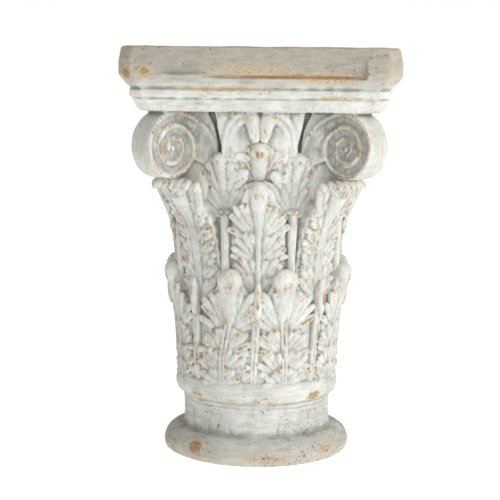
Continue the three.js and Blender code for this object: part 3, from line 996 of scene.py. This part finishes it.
def add_sheath_leaves(carving):
    """Stalks between the upper leaves, each with a collar and a sheath leaf for the scrolls."""
    shape = {
        "foot": 368.0,
        "half_width": 34.0,
        "spread": 1.45,
        "lift": 4.6,
        "ribbed": False,
        "layers": ((364.0, SHEATH_FAN), (387.0, SHEATH_FAN), (411.0, SHEATH_TOP_FAN)),
        "tip": (430.0, 24.0, 16.0, 12.0),
    }
    radius_at = flared(radius=121.0, start=366.0, rise=60.0, flare=16.0, power=1.4, most=1.3)
    for turn in LEAF_TURNS:
        azimuth = HALF_LEAF + turn
        add_stalk(carving, (azimuth, azimuth), *UPPER_STALK)
        collar = polar(COLLAR_PLACE[0], azimuth, COLLAR_PLACE[1])
        tangent = polar(1.0, azimuth + math.pi / 2, 0.0)
        carving.shells.append(knob(collar, UP, tangent, *STALK_COLLAR))
        carving.rub(collar + polar(5.0, azimuth, 0.0), radius=8.0, strength=0.9)
        add_leaf(carving, Ground(azimuth, radius_at), shape)


def add_centre_leaves(carving):
    """A small leaf on each face between the inner scrolls."""
    shape = {
        "foot": 408.0,
        "half_width": 28.0,
        "spread": 1.15,
        "lift": 4.6,
        "trunk": (4.0, 7.0),
        "ribbed": True,
        "layers": ((408.0, SHEATH_FAN), (424.0, SHEATH_FAN), (440.0, SHEATH_TOP_FAN)),
        "tip": (438.0, 34.0, 27.0, 14.5),
    }
    radius_at = flared(radius=123.0, start=405.0, rise=42.0, flare=16.0, power=1.2, most=1.3)
    for azimuth in FACE_TURNS:
        add_leaf(carving, Ground(azimuth, radius_at), shape)


def spandrel():
    """The ground behind a face's inner scrolls, up to the abacus, fuller within the scrolls."""
    across = np.linspace(-1.0, 1.0, 61)
    heights, half_widths, fronts = np.transpose(SPANDREL_LEVELS)
    rings = []
    for height in np.linspace(heights[0], heights[-1], 30):
        half_width = np.interp(height, heights, half_widths)
        front = np.interp(height, heights, fronts)
        within = smooth((SCROLL_GROUND_EDGE - np.abs(across * half_width)) / 5.0)
        within = within * smooth((heights[-1] - height) / 8.0)
        y = front + 4.0 * across**12 - SCROLL_GROUND * within
        level = np.full(across.shape, height)
        face = np.stack([across * half_width, y, level], axis=1)
        back = np.stack([across[::-1] * half_width, np.full(across.shape, SPANDREL_BACK), level], axis=1)
        rings.append(np.concatenate([face, back]))
    return skin(np.array(rings))


# Surface of the casting


def grain(points, size, random):
    """Smooth random values from -1 to 1 over points, with features of one size."""
    place = (points - points.min(axis=0)) / size
    cell = np.floor(place).astype(int)
    part = smooth(place - cell)
    table = random.uniform(-1.0, 1.0, cell.max(axis=0) + 2)
    total = np.zeros(len(points))
    for corner in range(8):
        step = np.array((corner & 1, corner >> 1 & 1, corner >> 2 & 1))
        weight = np.prod(np.where(step, part, 1.0 - part), axis=1)
        total += weight * table[tuple((cell + step).T)]
    return total


class Surface:
    """The carved surface as arrays: its points and its edges, with means over neighbours."""

    def __init__(self, mesh):
        self.points = np.empty(len(mesh.vertices) * 3)
        mesh.vertices.foreach_get("co", self.points)
        self.points = self.points.reshape(-1, 3)
        edges = np.empty(len(mesh.edges) * 2, int)
        mesh.edges.foreach_get("vertices", edges)
        self.edges = edges.reshape(-1, 2)
        both = np.concatenate([self.edges, self.edges[:, ::-1]])
        self.start, self.end = both[:, 0], both[:, 1]
        self.count = np.maximum(np.bincount(self.start, minlength=len(self.points)), 1)

    def mean(self, values):
        sums = np.bincount(self.start, weights=values[self.end], minlength=len(values))
        return sums / self.count

    def relaxed(self, points, rounds):
        for _ in range(rounds):
            middle = np.stack([self.mean(points[:, axis]) for axis in range(3)], axis=1)
            points = 0.4 * points + 0.6 * middle
        return points

    def parts(self):
        """A number for each point that is the same for all points of a connected part."""
        label = np.arange(len(self.points))
        while True:
            low = np.minimum(label[self.edges[:, 0]], label[self.edges[:, 1]])
            lowered = label.copy()
            np.minimum.at(lowered, self.edges[:, 0], low)
            np.minimum.at(lowered, self.edges[:, 1], low)
            lowered = lowered[lowered]
            if np.array_equal(lowered, label):
                return label
            label = lowered


def evaluated_mesh(obj):
    depsgraph = bpy.context.evaluated_depsgraph_get()
    return bpy.data.meshes.new_from_object(obj.evaluated_get(depsgraph))


def swap_mesh(obj, mesh):
    """Gives an object a new mesh in place of its modifiers and its old mesh."""
    old = obj.data
    obj.modifiers.clear()
    obj.data = mesh
    bpy.data.meshes.remove(old)


def shell_mesh(shells):
    points = []
    triangles = []
    start = 0
    for own_points, own_triangles in shells:
        points.append(own_points)
        triangles.append(own_triangles + start)
        start += len(own_points)
    mesh = bpy.data.meshes.new("plinth")
    mesh.from_pydata(np.concatenate(points) * METRES_PER_MM, [], np.concatenate(triangles))
    return mesh


def without_inner_skins(mesh):
    """The mesh without crumbs and without the skins of sealed hollows, whose volume counts as negative."""
    surface = Surface(mesh)
    label = surface.parts()
    corners = np.empty(len(mesh.loops), int)
    mesh.loops.foreach_get("vertex_index", corners)
    faces = corners.reshape(-1, 4)
    a, b, c, d = (surface.points[faces[:, corner]] for corner in range(4))
    volume = np.einsum("ij,ij->i", a, np.cross(b, c) + np.cross(c, d)) / 6.0
    total = np.bincount(label[faces[:, 0]], weights=volume, minlength=len(label))
    keep = total[label] > SMALLEST_PART
    number = np.cumsum(keep) - 1
    cleaned = bpy.data.meshes.new(mesh.name)
    cleaned.from_pydata(surface.points[keep], [], number[faces[keep[faces[:, 0]]]])
    bpy.data.meshes.remove(mesh)
    return cleaned


def point_normals(mesh):
    normals = np.empty(len(mesh.vertices) * 3)
    mesh.vertices.foreach_get("normal", normals)
    return normals.reshape(-1, 3)


def add_values(mesh, name, values):
    layer = mesh.attributes.new(name, "FLOAT", "POINT")
    layer.data.foreach_set("value", values.astype(np.float32))


def soften(mesh, unevenness, random):
    """Softens the carving and makes it a little uneven."""
    surface = Surface(mesh)
    points = surface.relaxed(surface.points, 1)
    stray = grain(points, BROAD_STRAY, random) + 0.5 * grain(points, FINE_STRAY, random)
    on_base = points[:, 2] < FLAT_BASE
    points = points + point_normals(mesh) * np.where(on_base, 0.0, unevenness * stray)[:, None]
    mesh.vertices.foreach_set("co", points.ravel())
    mesh.update()


def rubbed_places(points, places):
    """How strongly each point is rubbed, from nothing outside the rubbed places to most in their middle."""
    values = np.zeros(len(points))
    for x, y, z, radius, strength in places:
        near = np.flatnonzero(np.abs(points[:, 2] - z) < radius)
        away = np.linalg.norm(points[near] - (x, y, z), axis=1) / radius
        values[near] = np.maximum(values[near], strength * smooth(1.6 - 1.6 * away))
    return values


def mark_wear_and_shade(mesh, places):
    """Marks the carving's crests for rubbing and painted highlight, its hollows for dust and painted shade,
    and its rubbed places.
    """
    surface = Surface(mesh)
    normals = point_normals(mesh)
    fine = surface.relaxed(surface.points, CREST_ROUNDS)
    broad = surface.relaxed(fine, RELIEF_ROUNDS)
    crest = np.einsum("ij,ij->i", surface.points - fine, normals) / CREST_HEIGHT
    height = np.einsum("ij,ij->i", fine - broad, normals) / RELIEF_HEIGHT
    # Crests: rubbed to the ochre, and lightened as a painted highlight
    add_values(mesh, "rub", np.clip(0.55 * crest + 0.45 * height, 0.0, 1.0))
    # Hollows: darkened as dust, and as painted shade where shade falls in the creases
    add_values(mesh, "hollow", np.clip(-1.1 * crest - 0.2 * height, 0.0, 1.0))
    add_values(mesh, "gilt", rubbed_places(surface.points * MM_PER_METRE, places))


def carved_piece(name, carving, step, settings):
    """One carved mesh over all shells of a carving, with its wear, painted highlight and painted shade
    marked on it.
    """
    obj = bpy.data.objects.new(name, shell_mesh(carving.shells))
    bpy.context.scene.collection.objects.link(obj)
    carve = obj.modifiers.new("carve", "REMESH")
    carve.mode = "VOXEL"
    carve.voxel_size = step
    swap_mesh(obj, without_inner_skins(evaluated_mesh(obj)))
    soften(obj.data, settings.unevenness, carving.random)
    lighten = obj.modifiers.new("lighten", "DECIMATE")
    lighten.ratio = min(1.0, settings.triangle_limit / (2.0 * len(obj.data.polygons)))
    swap_mesh(obj, evaluated_mesh(obj))
    mark_wear_and_shade(obj.data, carving.rubbed)
    obj.data.shade_smooth()
    obj.data.materials.append(whitewashed_casting(settings))
    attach(obj, "root")
    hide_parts("plinth")


# Materials


def linear(code):
    """An sRGB hex value as a linear colour."""
    parts = [int(code[i : i + 2], 16) / 255.0 for i in (0, 2, 4)]
    parts = [p / 12.92 if p <= 0.04045 else ((p + 0.055) / 1.055) ** 2.4 for p in parts]
    return (*parts, 1.0)


def per_metre(millimetres):
    """Texture scale whose pattern goes up and down once in a length."""
    return MM_PER_METRE / millimetres


def add_node(tree, kind, output, values=None, links=None, **settings):
    """Adds a node with its settings, its values and its links, and gives the output that is wanted."""
    node = tree.nodes.new(kind)
    for name, value in settings.items():
        setattr(node, name, value)
    for socket, value in (values or {}).items():
        node.inputs[socket].default_value = value
    for socket, source in (links or {}).items():
        tree.links.new(source, node.inputs[socket])
    return node.outputs[output]


def worn_spots_and_groove_shade():
    """The worn spots of the front, two of them also painted shadow in the abacus groove, and a few like them
    on the other three sides.
    """
    random = np.random.default_rng(SEED)
    spots = list(WORN_SPOTS_AND_GROOVE_SHADE)
    for turn in FACE_TURNS[1:]:
        for index in random.choice(len(WORN_SPOTS_AND_GROOVE_SHADE), SIDE_SPOTS, replace=False):
            centre, reach, strength = WORN_SPOTS_AND_GROOVE_SHADE[index]
            centre = turned(np.array(centre), turn)
            reach = np.abs(turned(np.array(reach), turn))
            spots.append((centre, reach, strength * random.uniform(0.6, 0.9)))
    return spots


def worn_through_and_groove_shade(node, where, grained, crest, gilt):
    """How far the wash is gone: on rubbed places, crests and spots of the mouldings, torn into flecks.

    Two of the spots also paint a shadow line in the abacus groove.
    """
    worn = gilt
    for centre, reach, strength in worn_spots_and_groove_shade():
        scale = [MM_PER_METRE / size for size in reach]
        offset = [-place / size for place, size in zip(centre, reach)]
        spot_frame = {"Location": offset, "Scale": scale}
        inside = node("ShaderNodeMapping", "Vector", spot_frame, {"Vector": where})
        away = node("ShaderNodeVectorMath", "Value", links={0: inside}, operation="LENGTH")
        span = {"From Min": 1.0, "From Max": 0.35, "To Max": strength}
        spot = node("ShaderNodeMapRange", "Result", span, {"Value": away})
        worn = node("ShaderNodeMath", "Value", links={0: worn, 1: spot}, operation="MAXIMUM")
    rubbing = node("ShaderNodeMath", "Value", {1: 0.5}, {0: crest}, operation="MULTIPLY")
    worn = node("ShaderNodeMath", "Value", links={0: worn, 1: rubbing}, operation="MAXIMUM")

    # Flecks of wash about 2 mm wide that still hold
    noise = {"Scale": per_metre(3.6), "Detail": 5.0, "Roughness": 0.68}
    flecks = node("ShaderNodeTexNoise", "Fac", noise, {"Vector": grained})
    span = {"From Min": 0.32, "From Max": 0.68, "To Min": 0.82, "To Max": 0.0}
    held = node("ShaderNodeMapRange", "Result", span, {"Value": flecks})
    return node("ShaderNodeMath", "Value", links={0: worn, 1: held}, operation="SUBTRACT")


def pit_depth(node, where, height, patch, on_carving):
    """Pits about 1.5 mm wide, in loose groups, drawn a little coarser than real ones so that they show."""
    noise = {"Scale": per_metre(3.2), "Detail": 2.0, "Roughness": 0.5}
    pit = node("ShaderNodeTexNoise", "Fac", noise, {"Vector": where})
    grouped = node("ShaderNodeMath", "Value", {1: 0.35}, {0: patch}, operation="MULTIPLY")
    span = {"From Min": 0.1, "From Max": 0.03, "To Max": 0.045}
    on_foot = node("ShaderNodeMapRange", "Result", span, {"Value": height})
    pitted = pit
    for more in (grouped, on_foot):
        pitted = node("ShaderNodeMath", "Value", links={0: pitted, 1: more}, operation="ADD")
    span = {"To Min": 0.8, "To Max": 0.3}
    most = node("ShaderNodeMapRange", "Result", span, {"Value": on_carving})
    span = {"From Min": 0.835, "From Max": 0.93}
    return node("ShaderNodeMapRange", "Result", span, {"Value": pitted, "To Max": most})


def whitewashed_casting(settings):
    """Limewash brushed over an ochre coat on a cast body: chalky and uneven, dusty and pitted.

    The brush went level on the mouldings and upright on the carving. Dust and painted shade lie grey in the
    hollows, a painted highlight lightens the crests, and the wash is rubbed through to the ochre along the
    crests.
    Painted shade also darkens the foot towards the floor.
    """
    title = "brushed_limewash_over_ochre"
    if title in bpy.data.materials:
        return bpy.data.materials[title]
    material = bpy.data.materials.new(title)
    material.use_nodes = True
    tree = material.node_tree
    shader = tree.nodes["Principled BSDF"]
    node = partial(add_node, tree)
    where = node("ShaderNodeTexCoord", "Object")
    height = node("ShaderNodeSeparateXYZ", "Z", links={0: where})
    carved = {1: CARVED_MIDDLE, 2: CARVED_REACH}
    on_carving = node("ShaderNodeMath", "Value", carved, {0: height}, operation="COMPARE")
    level, upright = (
        node("ShaderNodeVectorMath", "Vector", {1: stretch}, {0: where}, operation="MULTIPLY")
        for stretch in (BRUSHED_LEVEL, BRUSHED_UPRIGHT)
    )
    run, grained = (
        node("ShaderNodeMix", 1, links={0: on_carving, 4: elsewhere, 5: upright}, data_type="VECTOR")
        for elsewhere in (level, where)
    )
    crest, hollow, gilt = (
        node("ShaderNodeAttribute", "Fac", attribute_name=mark)
        for mark in ("rub", "hollow", "gilt")
    )

    # Thick and thin wash in patches about 30 mm wide
    noise = {"Scale": per_metre(60.0), "Detail": 6.0, "Roughness": 0.62}
    patch = node("ShaderNodeTexNoise", "Fac", noise, {"Vector": where})
    span = {"From Min": 0.4, "From Max": 0.66}
    thinness = node("ShaderNodeMapRange", "Result", span, {"Value": patch})
    washes = {6: linear(settings.whitewash), 7: linear(settings.thin_wash)}
    colour = node("ShaderNodeMix", 2, washes, {0: thinness}, data_type="RGBA")

    # Dusty wash on the abacus, which fades out over the slope below its ledge, and painted shade on the
    # foot, darkest at the bottom
    for start, full, strength in DUSTY_AND_SHADED_BANDS:
        span = {"From Min": start, "From Max": full, "To Max": strength}
        dust = node("ShaderNodeMapRange", "Result", span, {"Value": height}, interpolation_type="SMOOTHSTEP")
        shade = {7: linear(settings.fascia_and_foot_shade)}
        colour = node("ShaderNodeMix", 2, shade, {0: dust, 6: colour}, data_type="RGBA")

    # Brush marks about 2.4 mm wide and a few times as long, coarser than real bristles so that they show
    noise = {"Scale": per_metre(4.8), "Detail": 4.0, "Roughness": 0.65}
    brush = node("ShaderNodeTexNoise", "Fac", noise, {"Vector": run})
    span = {"From Min": 0.3, "From Max": 0.7, "To Min": 1.13, "To Max": 0.84}
    stroke = node("ShaderNodeMapRange", "Result", span, {"Value": brush})

    # Crests are painted lighter than the rest: brushed whiter, and a painted highlight on the ridges
    span = {"To Min": 1.0, "To Max": 1.12}
    raised = node("ShaderNodeMapRange", "Result", span, {"Value": crest})
    value = node("ShaderNodeMath", "Value", links={0: stroke, 1: raised}, operation="MULTIPLY")
    colour = node("ShaderNodeHueSaturation", "Color", links={"Value": value, "Color": colour})

    # Dust and grey wash in the hollows, and painted shade where shade falls in the creases
    grime_and_shade = {7: linear(settings.grime_and_shade)}
    colour = node("ShaderNodeMix", 2, grime_and_shade, {0: hollow, 6: colour}, data_type="RGBA")

    # The worn places, with the painted shadow line in the abacus groove, show ochre at first, and umber
    # where they are deeper
    torn = worn_through_and_groove_shade(node, where, grained, crest, gilt)
    bare, deeper = (
        node("ShaderNodeMapRange", "Result", span, {"Value": torn})
        for span in ({"From Max": 0.6, "To Max": 0.85}, {"From Min": 0.2, "From Max": 0.8})
    )
    coats = {6: linear(settings.ochre), 7: linear(settings.umber)}
    under = node("ShaderNodeMix", 2, coats, {0: deeper}, data_type="RGBA")
    colour = node("ShaderNodeMix", 2, links={0: bare, 6: colour, 7: under}, data_type="RGBA")

    # Dirt in the pits
    depth = pit_depth(node, where, height, patch, on_carving)
    dirt = {7: linear(settings.pits)}
    colour = node("ShaderNodeMix", 2, dirt, {0: depth, 6: colour}, data_type="RGBA")
    tree.links.new(colour, shader.inputs["Base Color"])

    # Relief of brush marks and pits
    relief = node("ShaderNodeMath", "Value", links={0: brush, 1: depth}, operation="SUBTRACT")
    bump_values = {"Strength": 0.75, "Distance": 0.0012}
    bump = node("ShaderNodeBump", "Normal", bump_values, {"Height": relief})
    tree.links.new(bump, shader.inputs["Normal"])
    shader.inputs["Roughness"].default_value = 0.85
    shader.inputs["IOR"].default_value = 1.5
    shader.inputs["Specular IOR Level"].default_value = 0.3
    return material


def lit_floor(settings):
    """Opal acrylic over lamps, cast and matted: it glows evenly, with the faintest cloudiness."""
    material = bpy.data.materials.new("matted_opal_acrylic")
    material.use_nodes = True
    tree = material.node_tree
    shader = tree.nodes["Principled BSDF"]
    where = add_node(tree, "ShaderNodeTexCoord", "Object")
    cloudiness = {"Scale": per_metre(400.0), "Detail": 3.0}
    cloud = add_node(tree, "ShaderNodeTexNoise", "Fac", cloudiness, {"Vector": where})
    whites = {6: linear(settings.floor_colour), 7: linear(settings.floor_cloud)}
    colour = add_node(tree, "ShaderNodeMix", 2, whites, {0: cloud}, data_type="RGBA")
    tree.links.new(colour, shader.inputs["Base Color"])
    shader.inputs["Roughness"].default_value = 0.9
    shader.inputs["Emission Color"].default_value = (1.0, 1.0, 1.0, 1.0)
    shader.inputs["Emission Strength"].default_value = settings.floor_glow
    return material


# Operators


class PLINTH_OT_casting(bpy.types.Operator):
    """Build the casting's large forms: foot, neck, bell, inner scrolls, volutes and abacus"""

    bl_idname = "plinth.casting"
    bl_label = "Build casting"

    def execute(self, context):
        settings = context.scene.plinth_casting
        carving = Carving(SEED)
        carving.shells += turned_core() + abacus()
        add_volutes(carving)
        add_inner_scrolls(carving)
        carved_piece("plinth_casting", carving, settings.carving_step, settings)
        return {"FINISHED"}


class PLINTH_OT_leaves(bpy.types.Operator):
    """Build the rings of acanthus leaves on the casting"""

    bl_idname = "plinth.leaves"
    bl_label = "Build leaves"

    def execute(self, context):
        settings = context.scene.plinth_casting
        rings = {
            "plinth_lower_leaves": (add_lower_leaves, add_lower_stalks),
            "plinth_upper_leaves": (add_upper_leaves,),
            "plinth_sheath_leaves": (add_sheath_leaves, add_centre_leaves),
        }
        for number, (name, makers) in enumerate(rings.items(), start=1):
            carving = Carving(SEED + number)
            for add in makers:
                add(carving)
            carved_piece(name, carving, settings.leaf_step, settings)
        return {"FINISHED"}


class PLINTH_OT_stage(bpy.types.Operator):
    """Lay the floor, and set the lights and the camera"""

    bl_idname = "plinth.stage"
    bl_label = "Set stage"

    def execute(self, context):
        settings = context.scene.plinth_stage
        scene = context.scene
        half = settings.floor_size / 2
        mesh = bpy.data.meshes.new("floor")
        corners = [(-half, -half, 0.0), (half, -half, 0.0), (half, half, 0.0), (-half, half, 0.0)]
        mesh.from_pydata(corners, [], [(0, 1, 2, 3)])
        mesh.materials.append(lit_floor(settings))
        floor = bpy.data.objects.new("floor", mesh)
        scene.collection.objects.link(floor)

        world = bpy.data.worlds.new("studio")
        world.use_nodes = True
        tree = world.node_tree
        seen = add_node(tree, "ShaderNodeLightPath", "Is Camera Ray")
        span = {"To Min": settings.sky, "To Max": 1.0}
        strength = add_node(tree, "ShaderNodeMapRange", "Result", span, {"Value": seen})
        tree.nodes["Background"].inputs["Color"].default_value = (1.0, 1.0, 1.0, 1.0)
        tree.links.new(strength, tree.nodes["Background"].inputs["Strength"])
        scene.world = world

        lamps = {
            "key": (settings.key_power, KEY_PLACE),
            "fill": (settings.fill_power, FILL_PLACE),
        }
        for name, (power, place) in lamps.items():
            light = bpy.data.lights.new(name, "AREA")
            light.shape = "DISK"
            light.size = LAMP_WIDTH
            light.energy = power
            lamp = bpy.data.objects.new(name, light)
            lamp.location = place
            aim = Vector(LAMP_AIM) - lamp.location
            lamp.rotation_euler = aim.to_track_quat("-Z", "Y").to_euler()
            scene.collection.objects.link(lamp)

        lens = bpy.data.cameras.new("camera")
        lens.sensor_fit = "HORIZONTAL"
        lens.angle = settings.field_of_view
        camera = bpy.data.objects.new("camera", lens)
        place = Vector((settings.camera_aside, -settings.camera_distance, settings.camera_height))
        tilt = Matrix.Rotation(math.pi / 2 - settings.camera_pitch, 4, "X")
        roll = Matrix.Rotation(settings.camera_roll, 4, "Z")
        camera.matrix_world = Matrix.Translation(place) @ tilt @ roll
        scene.collection.objects.link(camera)
        scene.camera = camera
        scene.view_settings.view_transform = "Standard"
        return {"FINISHED"}


class PLINTH_PT_panel(bpy.types.Panel):
    """Sizes, colours and steps of the plinth"""

    bl_label = "Capital plinth"
    bl_space_type = "VIEW_3D"
    bl_region_type = "UI"
    bl_category = "Plinth"

    def draw(self, context):
        boxes = {"plinth_casting": ("plinth.casting", "plinth.leaves"), "plinth_stage": ("plinth.stage",)}
        for group, operators in boxes.items():
            settings = getattr(context.scene, group)
            box = self.layout.box()
            for name in settings.__annotations__:
                box.prop(settings, name)
            for operator in operators:
                box.operator(operator)


CLASSES = (
    PlinthCasting,
    PlinthStage,
    PLINTH_OT_casting,
    PLINTH_OT_leaves,
    PLINTH_OT_stage,
    PLINTH_PT_panel,
)


def register():
    for kind in CLASSES:
        bpy.utils.register_class(kind)
    bpy.types.Scene.plinth_casting = bpy.props.PointerProperty(type=PlinthCasting)
    bpy.types.Scene.plinth_stage = bpy.props.PointerProperty(type=PlinthStage)


def unregister():
    del bpy.types.Scene.plinth_stage
    del bpy.types.Scene.plinth_casting
    for kind in reversed(CLASSES):
        bpy.utils.unregister_class(kind)


def main():
    register()
    bpy.ops.plinth.stage()
    bpy.ops.plinth.casting()
    bpy.ops.plinth.leaves()


if __name__ == "__main__":
    main()
